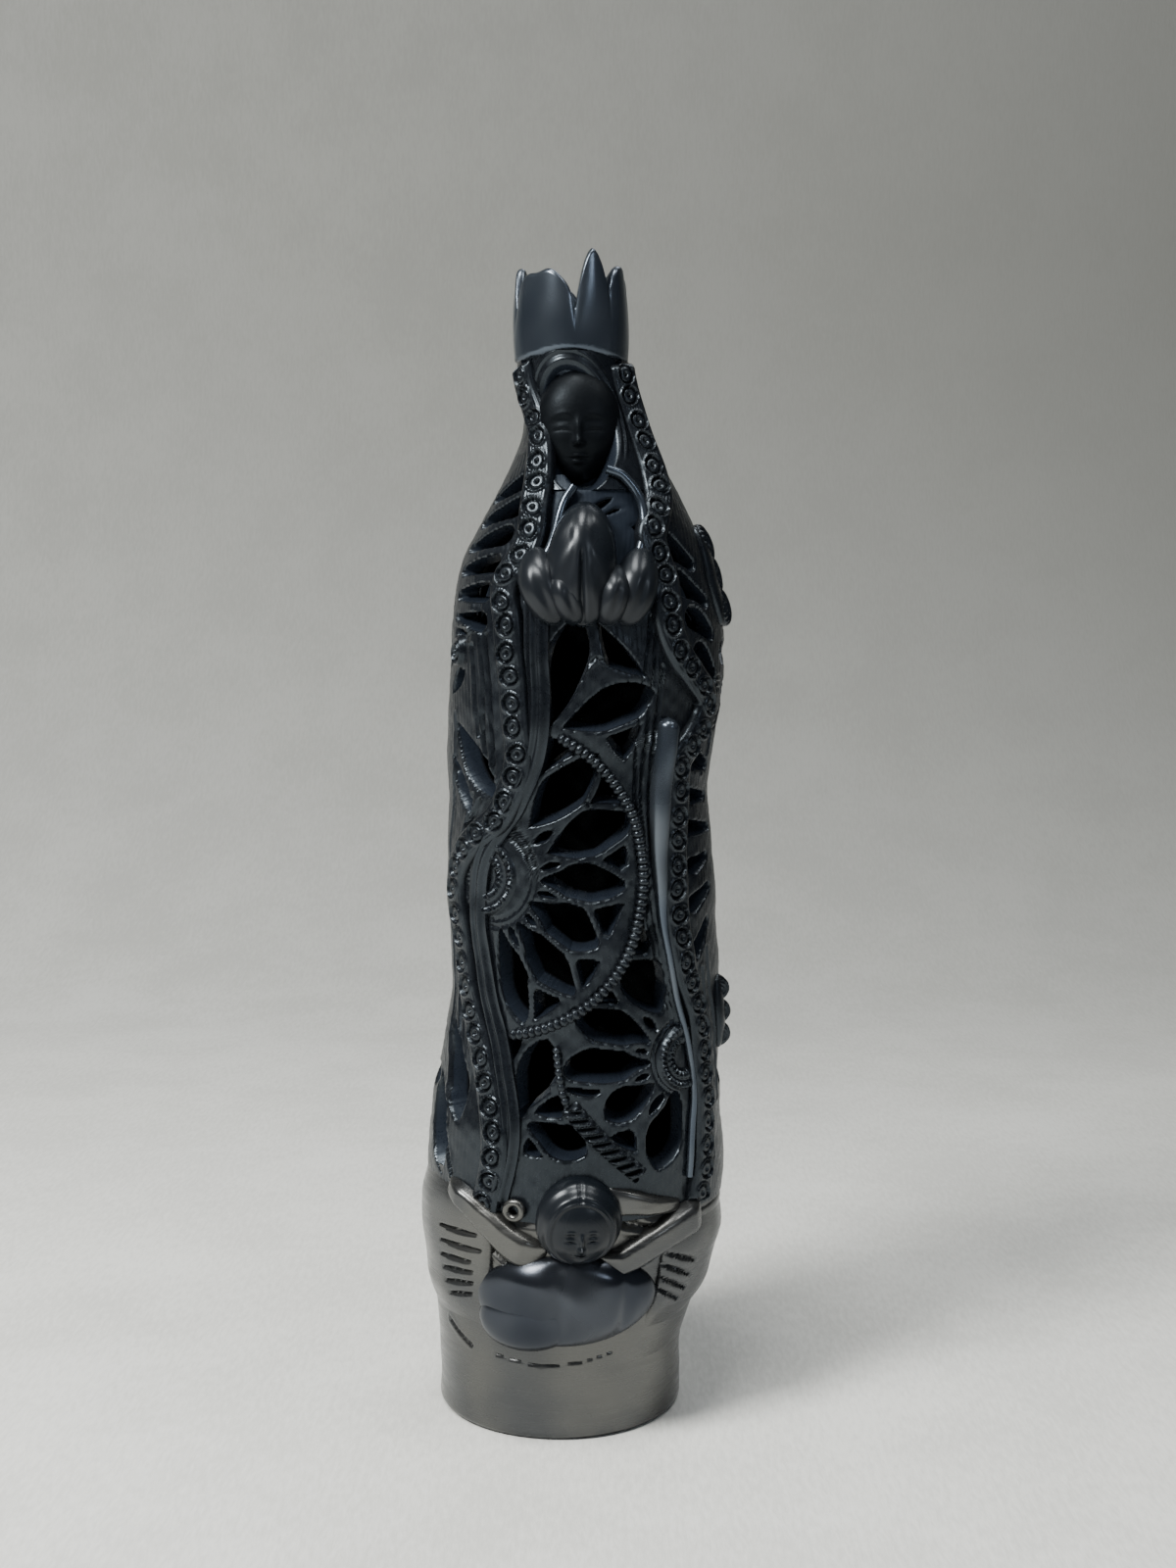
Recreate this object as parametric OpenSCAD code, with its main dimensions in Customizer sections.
// Hollow pierced black clay figure: a crowned, veiled woman on a thrown plinth, with an angel at her feet.
// Every piece is a separate solid, luted to its neighbours. Origin: centre of the plinth's underside,
// +Z up, the figure faces -Y and +X is on the viewer's right.

/* [Overall] */
// Diameter of the plinth
plinth_d = 51.6; // [44:0.2:62]
// Height of the plinth
plinth_h = 15; // [12:0.5:20]
// Height of the figure from the plinth to the seat of the crown
robe_h = 200; // [165:1:240]
// Greatest width of the robe
robe_w = 62; // [52:1:75]
// Greatest depth of the robe
robe_d = 56; // [46:1:68]

/* [Walls] */
// Thickness of the built-up walls
wall = 4; // [3:0.25:5]
// Thickness of the plinth's thrown wall
plinth_wall = 5; // [4:0.5:7]
// Thickness of the plinth's floor
floor_t = 5; // [3:0.5:8]
// Diameter of the firing hole in the floor
vent_d = 26; // [12:1:30]
// How deep an applied piece is keyed into the wall that carries it
key = 0.6; // [0.3:0.1:1]

/* [Trim] */
// Width of the ring-stamped mantle borders
border_w = 6.4; // [5:0.2:8]
// How far the borders stand out
border_t = 1.3; // [0.8:0.1:2]
// Outer diameter of a stamped ring
ring_d = 4.4; // [3.4:0.1:5]
// Spacing of the stamped rings along the borders
ring_pitch = 5; // [4.6:0.1:6]
// Height of a stamped ring's ridge above its border
ring_h = 0.4; // [0.2:0.1:0.8]
// Width of a stamped ring's ridge
ring_line = 0.7; // [0.5:0.1:1]
// Diameter of the beaded ropes
rope_d = 2.4; // [1.6:0.1:3]
// Diameter of the neck cord
cord_d = 1.8; // [1.2:0.1:2.4]
// How far the leaf sprays stand out
spray_t = 2; // [1:0.1:3]
// Width of the plain folds inside the borders
fold_w = 5; // [3.5:0.25:6]

/* [Pierced flowers] */
// Distance from a flower's centre to the near ends of its leaves
leaf_near = 12.5; // [11:0.5:15]
// Distance from a flower's centre to the far ends of its leaves
leaf_far = 29.5; // [26:0.5:31]
// Width of a leaf opening
leaf_w = 6; // [4:0.25:7]
// Depth of the leaves carved into the back, which stay closed
relief_depth = 1.6; // [1:0.1:2.4]
// Diameter of the large flower's beaded centre
rosette_d = 17; // [13:0.5:19]
// Distance from a side flower's centre to the near ends of its leaves
side_near = 6; // [5:0.5:8]
// Distance from a side flower's centre to the far ends of its leaves
side_far = 17; // [14:0.5:18]
// Width of a comb slot
slot_w = 3.4; // [2.5:0.1:3.8]
// Length of a comb slot
slot_l = 12; // [9:0.5:13]

/* [Head and crown] */
// Width of the head
head_w = 15.5; // [13:0.5:18]
// Height of the head
head_h = 23; // [20:0.5:26]
// Diameter of the crown
crown_d = 23; // [20:0.5:26]
// Height of the crown from its seat to the tip of its front petal
crown_h = 25; // [20:0.5:30]
// Thickness of the crown's wall
crown_wall = 2.2; // [1.6:0.1:3]
// Width of the notches between the petals, at their tips
notch_w = 6; // [4:0.5:8]
// Number of petals on the crown
petals = 5; // [4:1:7]

/* [Hands] */
// Width of the joined hands
hands_w = 14; // [11:0.5:17]
// Height of the joined hands
hands_h = 24; // [20:0.5:28]
// Width of one cuff
cuff_w = 9; // [7:0.5:11]

/* [Angel] */
// Width of the angel's head
angel_head_w = 17; // [14:0.5:19]
// Height of the angel's head
angel_head_h = 18; // [15:0.5:20]
// Width of the angel's torso
angel_torso_w = 40; // [34:1:44]
// Thickness of an arm
angel_arm_d = 5; // [4:0.25:6]
// Thickness of a wing
wing_t = 1.6; // [1.2:0.1:2.4]

/* [Hidden] */
$fn = 48;

burnished = [0.30, 0.30, 0.32];
carved = [0.13, 0.13, 0.14];

// Pattern sizes follow the robe when it is made smaller
motif = min(1, robe_w / 62, robe_h / 200, robe_d / 56);
mean_r = 0.43 * (robe_w + robe_d) / 2; // arc length to angle on the wall
girth = (robe_w + robe_d) / 118; // pieces that meet across the front keep their share of the robe
foot_top = 15.5; // seam heights, in percent of robe_h above the plinth
tunic_top = 80;
mantle_top = 92;
side_seam = 110; // angle of the side seams from the front
seat_z = plinth_h + robe_h;
crown_x = 0.04 * robe_w;
hands_at = [-1, 81]; // where the joined palms sit

// Robe shape: [rise in percent, lean to +X, half width, half depth]
shape = concat([[0, 0, plinth_d / 2, plinth_d / 2]],
    [for (s = [[7.5, 0.030, 0.465, 0.482], [15, 0.047, 0.500, 0.500], [22.5, 0.052, 0.498, 0.500],
               [30, 0.073, 0.471, 0.486], [37.5, 0.085, 0.453, 0.473], [47.5, 0.071, 0.450, 0.468],
               [57.5, 0.065, 0.435, 0.457], [67.5, 0.085, 0.455, 0.461], [75, 0.090, 0.450, 0.454],
               [80, 0.085, 0.416, 0.429], [85, 0.092, 0.352, 0.384], [90, 0.095, 0.268, 0.321],
               [95, 0.085, 0.200, 0.268]])
        [s[0], s[1] * robe_w, s[2] * robe_w, s[3] * robe_d]],
    [[100, 0.050 * robe_w, crown_d / 2, crown_d / 2 + 1]]);

// Border courses: [rise, angle from the front]
left_course = [[15, -36], [23, -31], [30, -41], [38, -56], [46, -62], [50, -62], [53, -52], [56, -36],
               [61, -27], [68, -30], [75, -33], [79, -36], [83, -29], [88, -33], [93, -42], [97, -57],
               [100, -62]];
right_course = [[15, 54], [22, 58], [31, 56], [36, 54], [40, 47], [47, 43], [58, 46], [62, 46], [65, 58],
                [68, 59], [71, 45], [75, 36], [80, 37], [84, 34], [88, 48], [94, 56], [100, 58]];

// Column c of a station list at x, on a smooth curve through the stations
function at(list, c, x) =
    let (n = len(list), k = max([for (i = [0:n - 2]) if (i == 0 || x >= list[i][0]) i]),
         a = list[k], b = list[k + 1], w = b[0] - a[0], t = (x - a[0]) / w, rise = (b[c] - a[c]) / w,
         m0 = k > 0 ? (b[c] - list[k - 1][c]) / (b[0] - list[k - 1][0]) : rise,
         m1 = k < n - 2 ? (list[k + 2][c] - a[c]) / (list[k + 2][0] - a[0]) : rise)
    a[c] * (2 * t ^ 3 - 3 * t ^ 2 + 1) + b[c] * (3 * t ^ 2 - 2 * t ^ 3)
        + w * (m0 * (t ^ 3 - 2 * t ^ 2 + t) + m1 * (t ^ 3 - t ^ 2));

function height(rise) = plinth_h + rise * robe_h / 100;

// Point on the robe at an angle from the front and a rise, moved out by off
function skin(angle, rise, off = 0) =
    [at(shape, 1, rise) + (at(shape, 2, rise) + off) * sin(angle),
     -(at(shape, 3, rise) + off) * cos(angle), height(rise)];

function unit(v) = v / norm(v);

function wall_normal(angle, rise) =
    unit(cross(skin(angle + 1, rise) - skin(angle - 1, rise),
               skin(angle, min(100, rise + 1)) - skin(angle, rise - 1)));

// Angle across the wall for an arc length
function arc(s) = s / mean_r * 180 / PI;

// The head stands up into the crown's floor by half a millimetre
head_r = head_w / 2 * motif;
head_half = head_h / 2 * motif;
head_x = at(shape, 1, 95);
head_y = -at(shape, 3, 95) + head_r + 1;
head_z = seat_z + 0.5 - head_half;

function steps(a, b, n) = [for (i = [0:n]) a + (b - a) * i / n];

// Closed slab between an outer and an inner grid of points; ring joins its last column to its first
module slab(outer, inner, ring = false) {
    rows = len(outer);
    cols = len(outer[0]);
    half = rows * cols;
    last = ring ? cols - 1 : cols - 2;
    function id(i, j) = i * cols + j % cols;
    faces = concat(
        [for (i = [0:rows - 2], j = [0:last]) each [[id(i, j), id(i + 1, j), id(i + 1, j + 1)],
                                                    [id(i, j), id(i + 1, j + 1), id(i, j + 1)]]],
        [for (i = [0:rows - 2], j = [0:last]) each
            [[half + id(i, j), half + id(i + 1, j + 1), half + id(i + 1, j)],
             [half + id(i, j), half + id(i, j + 1), half + id(i + 1, j + 1)]]],
        [for (j = [0:last]) each [[id(0, j), id(0, j + 1), half + id(0, j + 1)],
                                  [id(0, j), half + id(0, j + 1), half + id(0, j)]]],
        [for (j = [0:last]) each [[id(rows - 1, j), half + id(rows - 1, j + 1), id(rows - 1, j + 1)],
                                  [id(rows - 1, j), half + id(rows - 1, j), half + id(rows - 1, j + 1)]]],
        ring ? [] : [for (i = [0:rows - 2]) each [[id(i, 0), half + id(i + 1, 0), id(i + 1, 0)],
                                                  [id(i, 0), half + id(i, 0), half + id(i + 1, 0)]]],
        ring ? [] : [for (i = [0:rows - 2]) each
            [[id(i, cols - 1), id(i + 1, cols - 1), half + id(i + 1, cols - 1)],
             [id(i, cols - 1), half + id(i + 1, cols - 1), half + id(i, cols - 1)]]]);
    polyhedron([for (g = [outer, inner], row = g, p = row) p], faces);
}

// Wall panel between two rises and two edge courses, from off_in to off_out of the robe's skin
module panel(rises, left, right, cols, off_out, off_in) {
    function row(r, off) = [for (a = steps(left(r), right(r), cols)) skin(a, r, off)];
    slab([for (r = rises) row(r, off_out)], [for (r = rises) row(r, off_in)]);
}

// Section [[side, out], ...] carried along a course of [angle, rise] points on the wall
module sweep(course, section, count) {
    list = [for (i = [0:len(course) - 1]) [i, course[i][0], course[i][1]]];
    last = len(course) - 1;
    spots = [for (t = steps(0, last, count)) [at(list, 1, t), at(list, 2, t)]];
    m = len(section);
    points = [for (i = [0:count])
        let (a = spots[max(0, i - 1)], b = spots[min(count, i + 1)],
             way = unit(skin(b[0], b[1]) - skin(a[0], a[1])),
             out = wall_normal(spots[i][0], spots[i][1]), side = unit(cross(way, out)))
        each [for (q = section) skin(spots[i][0], spots[i][1]) + side * q[0] + out * q[1]]];
    faces = concat([[for (j = [m - 1:-1:0]) j]],
        [[for (j = [0:m - 1]) count * m + j]],
        [for (i = [0:count - 1], j = [0:m - 1]) each
            [[i * m + j, i * m + (j + 1) % m, (i + 1) * m + (j + 1) % m],
             [i * m + j, (i + 1) * m + (j + 1) % m, (i + 1) * m + j]]]);
    polyhedron(points, faces);
}

function round_section(d) = [for (i = [0:7]) [d / 2 * cos(45 * i), d / 2 * sin(45 * i)]];

function band_section(w, t) =
    [[-w / 2, -key], [w / 2, -key], [w / 2, t * 0.6], [w * 0.3, t], [-w * 0.3, t], [-w / 2, t * 0.6]];

// Children drawn in the wall's own directions: x across, y up, z straight out, with z = 0 on the skin
module on_wall(angle, rise, off = 0) {
    translate(skin(angle, rise, off)) rotate([0, 0, angle]) rotate([90, 0, 0]) children();
}

// Cutter for a pointed leaf whose middle is at (angle, rise), turned in the wall's plane; it goes through
// the wall unless a smaller depth is given
module leaf_cut(angle, rise, turn, length, width, depth = 2 * wall) {
    r = (length ^ 2 + width ^ 2) / (4 * width);
    on_wall(angle, rise) rotate([0, 0, turn]) translate([0, 0, -depth]) linear_extrude(depth + 2 * wall)
        intersection() {
            translate([0, r - width / 2]) circle(r);
            translate([0, width / 2 - r]) circle(r);
        }
}

// Cutter for a three-cornered opening
module chip_cut(angle, rise, turn, size, depth = 2 * wall) {
    on_wall(angle, rise) rotate([0, 0, turn]) translate([0, 0, -depth])
        cylinder(h = depth + 2 * wall, r = size, $fn = 3);
}

// Cutter for a comb slot: a straight opening with round ends
module slot_cut(angle, rise, turn, length) {
    on_wall(angle, rise) rotate([0, 0, turn]) translate([0, 0, -2 * wall]) {
        for (x = [-1, 1]) translate([x * (length - slot_w) / 2 * motif, 0, 0])
            cylinder(h = 4 * wall, d = slot_w * motif, $fn = 24);
        translate([-(length - slot_w) / 2 * motif, -slot_w / 2 * motif, 0])
            cube([(length - slot_w) * motif, slot_w * motif, 4 * wall]);
    }
}

// Leaves of a flower at the given directions, with chips between them near the far ends
module flower_cut(angle, rise, turns, near, far, width, depth = 2 * wall) {
    middle = (near + far) / 2 * motif;
    reach = (far - 2) * motif;
    for (t = turns)
        leaf_cut(angle + arc(middle * cos(t)), rise + 100 * middle * sin(t) / robe_h, t,
            (far - near) * motif, width * motif, depth);
    for (i = [0:1:len(turns) - 2]) {
        t = (turns[i] + turns[i + 1]) / 2;
        chip_cut(angle + arc(reach * cos(t)), rise + 100 * reach * sin(t) / robe_h, t + 180,
            3 * motif, depth);
    }
}

// Rounded swelling that follows the wall: half_angle and half_rise are its reach each way
module pillow(angle, rise, half_angle, half_rise, proud, sink = key) {
    function spot(u, v) =
        [angle + half_angle * u * sqrt(1 - v * v / 2), rise + half_rise * v * sqrt(1 - u * u / 2)];
    function swell(u, v) = proud * sqrt(max(0, (1 - u * u) * (1 - v * v)));
    grid = steps(-1, 1, 10);
    slab([for (v = grid) [for (u = grid) skin(spot(u, v)[0], spot(u, v)[1], swell(u, v))]],
        [for (v = grid) [for (u = grid) skin(spot(u, v)[0], spot(u, v)[1], -sink)]]);
}

module plinth() {
    r = plinth_d / 2;
    edge = 2;
    color(burnished) difference() {
        rotate_extrude($fn = 96) difference() {
            union() {
                translate([0, edge]) square([r, plinth_h - edge]);
                square([r - edge, edge]);
                translate([r - edge, edge]) circle(edge, $fn = 32);
            }
            translate([-edge, floor_t]) square([r - plinth_wall + edge, plinth_h]);
        }
        translate([0, 0, -1]) cylinder(h = floor_t + 2, d = vent_d);
    }
}

module foot_wall() {
    color(burnished) slab(
        [for (r = steps(0, foot_top, 5)) [for (a = steps(-180, 170, 35)) skin(a, r)]],
        [for (r = steps(0, foot_top, 5)) [for (a = steps(-180, 170, 35)) skin(a, r, -wall)]], ring = true);
}

left_edge = function (r) at(left_course, 1, r);
right_edge = function (r) at(right_course, 1, r);

module tunic_panel() {
    color(carved) difference() {
        panel(steps(foot_top, tunic_top, 22), left_edge, right_edge, 8, 0, -wall);
        flower_cut(-41, 50, [48, 22, -2, -29, -54, -77], leaf_near, leaf_far, leaf_w);
        flower_cut(46, 31.5, [120, 156, 182, 212, 254], leaf_near - 3, leaf_far - 5, leaf_w);
        flower_cut(-16, 64.5, [76, 20], leaf_near - 6.5, leaf_far - 7, leaf_w);
        flower_cut(-23, 26.5, [76, -26], leaf_near - 10.5, leaf_far - 12, leaf_w);
        for (c = [[-10, 62.5, 0], [17, 63.8, -30], [-31, 33, 30], [4, 29, 90], [21, 23.7, 0]])
            chip_cut(c[0], c[1], c[2], 2.6 * motif);
    }
}

// Flowers that straddle the side seams; side is -1 on the left and 1 on the right
module side_flowers(side, turns) {
    flower_cut(side * side_seam, 28, turns, side_near, side_far, leaf_w * 0.8);
    flower_cut(side * side_seam, 72, turns, side_near, side_far, leaf_w * 0.8);
}

away_right = [-72, -36, 0, 36, 72];
away_left = [for (t = away_right) 180 - t];

module mantle_left() {
    far_edge = function (r) -side_seam;
    color(carved) difference() {
        panel(steps(foot_top, mantle_top, 24), far_edge, left_edge, 8, 0, -wall);
        for (i = [0:5]) slot_cut(-56, 88 - 2.6 * i, 27 - 5 * i, slot_l);
        leaf_cut(-53, 62, -36, 17 * motif, 4.4 * motif);
        leaf_cut(-58, 57, -36, 10 * motif, 3 * motif);
        leaf_cut(-64, 67.5, -20, 7 * motif, 3 * motif);
        leaf_cut(-66, 29, -32, 17 * motif, 5 * motif);
        leaf_cut(-70, 24, -34, 17 * motif, 5 * motif);
        side_flowers(-1, [0, 36, 72]);
    }
}

module mantle_right() {
    far_edge = function (r) side_seam;
    color(carved) difference() {
        panel(steps(foot_top, mantle_top, 24), right_edge, far_edge, 8, 0, -wall);
        for (i = [0:3]) leaf_cut(52 + 3 * i, 81 - 3.3 * i, -32, 10 * motif, 4.2 * motif);
        for (i = [0:5]) slot_cut(64, 59.5 - 3.1 * i, -22 + 10 * i, slot_l);
        side_flowers(1, [for (t = away_left) if (t != 252) t]);
    }
}

module mantle_back() {
    near_edge = function (r) side_seam;
    far_edge = function (r) 360 - side_seam;
    color(carved) difference() {
        panel(steps(foot_top, mantle_top, 24), near_edge, far_edge, 14, 0, -wall);
        flower_cut(180, 52, [for (i = [0:12]) i * 30], leaf_near, leaf_far - 3, leaf_w, relief_depth);
        flower_cut(180, 20, [45, 90, 135], leaf_near - 5, leaf_far - 12, leaf_w, relief_depth);
        side_flowers(1, away_right);
        side_flowers(-1, away_left);
        for (i = [0:2], side = [-1, 1])
            slot_cut(180 + side * (16 + 5 * i), 84 - 3 * i, side * (40 - 8 * i), slot_l - 2);
        leaf_cut(180, 80, 90, 12 * motif, 4 * motif);
    }
}

// [angle, rise] points every pitch along a course of [rise, angle] stations
function spaced(course, pitch) =
    let (last = len(course) - 1,
         rises = steps(course[0][0] + 0.5, course[last][0] - 0.5, 160),
         spots = [for (r = rises) [at(course, 1, r), r]],
         places = [for (s = spots) skin(s[0], s[1])],
         runs = [for (i = 0, d = 0; i <= 160; i = i + 1,
                      d = d + (i <= 160 ? norm(places[i] - places[i - 1]) : 0)) d],
         count = floor(runs[160] / pitch))
    [for (k = [0:count]) let (d = (runs[160] - count * pitch) / 2 + k * pitch)
        [for (c = [0, 1]) lookup(d, [for (i = [0:160]) [runs[i], spots[i][c]]])]];

// Band along a course, with a stamped ring at every pitch
module border(course) {
    path = [for (c = course) [c[1], c[0]]];
    color(carved) {
        sweep(path, band_section(border_w, border_t), 60);
        for (p = spaced(course, ring_pitch)) on_wall(p[0], p[1], 0.3) difference() {
            cylinder(h = border_t + ring_h - 0.3, d = ring_d, $fn = 24);
            translate([0, 0, border_t - 0.2])
                cylinder(h = 2 * ring_h, d = ring_d - 2 * ring_line, $fn = 24);
        }
    }
}

module border_left() { border(left_course); }
module border_right() { border(right_course); }

module fold_left() {
    color(carved) sweep([[-30, 17], [-26, 24], [-34, 31], [-44, 38], [-48, 46], [-44, 52], [-27, 58],
        [-19, 64], [-20, 72], [-21, 78]], band_section(fold_w, border_t), 40);
}

module roll_right() {
    color(burnished)
        sweep([[49, 19], [50, 30], [41, 38], [36, 46], [36, 56], [37, 63], [37, 66]],
            round_section(fold_w), 30);
}

module rope_upper() {
    path = [for (t = steps(72, -100, 12)) [-41 + arc(32 * girth) * cos(t), 50 + 16 * sin(t)]];
    color(carved) sweep([for (p = path) if (p[0] > left_edge(p[1]) + 7) p], round_section(rope_d), 40);
}

module rope_lower() {
    color(carved)
        sweep([[-11, 33.5], [-7, 29], [-4, 27.4], [5, 25], [16, 22.3], [26, 20]], round_section(rope_d), 30);
}

// Beaded flower centre: a dished disc with two rings of beads
module rosette(angle, rise, d) {
    beads = 20;
    color(carved) on_wall(angle, rise, -0.8) {
        difference() {
            cylinder(h = 2, d = d * motif);
            translate([0, 0, 1]) cylinder(h = 2, d = 0.45 * d * motif);
        }
        for (i = [0:beads - 1])
            rotate([0, 0, i * 360 / beads]) translate([0.4 * d * motif, 0, 2]) sphere(0.7, $fn = 16);
    }
}

module rosette_left() { rosette(-44, 50, rosette_d); }
module rosette_right() { rosette(46, 31.5, rosette_d - 3); }
module back_rosette() { rosette(180, 52, rosette_d + 2); }

module neckline() {
    color(carved) difference() {
        panel(steps(tunic_top, 90, 5), left_edge, right_edge, 6, 0, -wall);
        for (i = [0:3]) leaf_cut(2 + 8 * i, 87.5 - i, 25 - 18 * i, 7 * motif, 1.6 * motif);
    }
}

module neck_cord() {
    color(burnished) {
        sweep([[-12, 89], [-17, 86], [-19, 82], [-20, 79]], round_section(cord_d), 14);
        sweep([[16, 89], [24, 87], [24, 83], [19, 79]], round_section(cord_d), 14);
    }
}

module hood() {
    rises = steps(mantle_top, 100, 6);
    color(carved) panel(rises, right_edge, function (r) 360 + left_edge(r), 20, 0, -wall);
}

// Egg shape of the head, a little deeper than it is wide
module head_egg() {
    translate([head_x, head_y, head_z]) scale([head_r, head_r + 0.8, head_half]) sphere(1);
}

module head() {
    color(carved) {
        head_egg();
        translate([head_x, head_y + 2, height(86)]) cylinder(h = head_z - height(86), r = head_r * 0.6);
    }
}

module hair() {
    color(carved) difference() {
        translate([head_x, head_y + 1, head_z + 1.5])
            scale([head_r + 1.4, head_r + 1.4, head_half + 0.4]) sphere(1);
        head_egg();
        translate([head_x, head_y - 2 * head_r, head_z - 2.5])
            cube([head_r * 1.6, 4 * head_r, 2 * head_half], center = true);
        translate([head_x, head_y, head_z - head_half])
            cube([6 * head_r, 6 * head_r, 2 * head_half], center = true);
    }
}

module crown() {
    r = crown_d / 2;
    color(burnished) translate([crown_x, 0, seat_z]) difference() {
        rotate_extrude($fn = 72) polygon([[0, 0], [r, 0], [r + 0.4, crown_h * 0.4], [r + 0.2, crown_h],
            [r - crown_wall, crown_h], [r - crown_wall, 3], [0, 3]]);
        for (i = [0:petals - 1])
            rotate([0, 0, -94 + i * 360 / petals]) translate([0, 0, crown_h * 0.45]) rotate([90, 0, 90])
                linear_extrude(2 * r)
                    polygon([[0, 0], [notch_w / 2, crown_h * 0.6], [-notch_w / 2, crown_h * 0.6]]);
    }
}

module hands_shape(sink = key) {
    pillow(hands_at[0], hands_at[1], arc(hands_w / 2), 50 * hands_h / robe_h, 6, sink);
}

module hand(side) {
    color(burnished) intersection() {
        hands_shape();
        on_wall(hands_at[0], hands_at[1]) translate([side > 0 ? 0.1 : -hands_w, -hands_h, -wall])
            cube([hands_w - 0.1, 2 * hands_h, 20]);
    }
}
module hand_left() { hand(-1); }
module hand_right() { hand(1); }

module cuff(side) {
    color(burnished) difference() {
        union() {
            pillow(2 + side * 20.5, 78.9, arc(cuff_w / 2), 4.1, 4.2);
            pillow(2 + side * 12, 78, arc(cuff_w / 2), 3.4, 4.6);
        }
        hands_shape(2 * key);
    }
}
module cuff_left() { cuff(-1); }
module cuff_right() { cuff(1); }

module angel_head() {
    color(carved) on_wall(2, 11.5 + 50 * angel_head_h / robe_h)
        scale([angel_head_w / 2 * girth, angel_head_h / 2, 8]) sphere(1, $fn = 32);
}

module angel_curl() {
    r = 1.6;
    line = 0.9;
    color(burnished) on_wall(-22, foot_top + 100 * (r + line) / robe_h)
        rotate_extrude($fn = 32) translate([r, 0]) circle(line, $fn = 16);
}

module angel_torso() {
    color(burnished) {
        pillow(-1, 6.3, arc(angel_torso_w / 2 * girth), 5.6, 5);
        pillow(-12, 4.4, arc(angel_torso_w / 4 * girth), 3.8, 4.2);
    }
}

module angel_arm_left() {
    color(burnished)
        sweep([[-46, 18.6], [-33, 17], [-24, 15.6], [-11, 12.4]], round_section(angel_arm_d), 16);
}

module angel_arm_right() {
    color(burnished) {
        sweep([[15, 18.4], [30, 17.6], [46, 16]], round_section(angel_arm_d), 12);
        sweep([[13, 10.4], [24, 11.6], [40, 13.6], [54, 14.6]], round_section(angel_arm_d), 14);
    }
}

module angel_wing_left() {
    tip_edge = function (r) -86 - 4 * sin(9 * r);
    near_edge = function (r) -34 - 1.2 * r;
    color(burnished) panel(steps(2.5, 20, 10), tip_edge, near_edge, 6, wing_t, -key);
}

module angel_wing_right() {
    near_edge = function (r) 38 + 0.6 * r;
    tip_edge = function (r) 84 + 4 * sin(9 * r);
    color(burnished) panel(steps(2, 15, 8), near_edge, tip_edge, 6, wing_t, -key);
}

module scroll_left() {
    color(carved) on_wall(-74, 65.5) rotate_extrude($fn = 32) translate([3, 0]) circle(1.1, $fn = 16);
}

// Scalloped leaf spray: a row of swelling lobes that overlap a common stem, each sunk to its own depth
module spray(angle, rise, count, size) {
    half = 50 * size / robe_h;
    gap = 1.6 * half;
    color(carved) {
        for (i = [0:count - 1])
            pillow(angle, rise - i * gap, arc(size / 2), half, spray_t, key * (1 + i / 4));
        pillow(angle - arc(size / 3), rise - (count - 1) * gap / 2, arc(0.4 * size), 0.8 * count * half,
            0.8 * spray_t, 2 * key);
    }
}

module spray_upper() { spray(84, 83, 3, 8); }
module spray_lower() { spray(82, 37, 3, 6); }

plinth();
foot_wall();
tunic_panel();
mantle_left();
mantle_right();
mantle_back();
border_left();
border_right();
fold_left();
roll_right();
rope_upper();
rope_lower();
rosette_left();
rosette_right();
neckline();
neck_cord();
hood();
head();
hair();
crown();
hand_left();
hand_right();
cuff_left();
cuff_right();
angel_head();
angel_curl();
angel_torso();
angel_arm_left();
angel_arm_right();
angel_wing_left();
angel_wing_right();
scroll_left();
spray_upper();
spray_lower();
back_rosette();
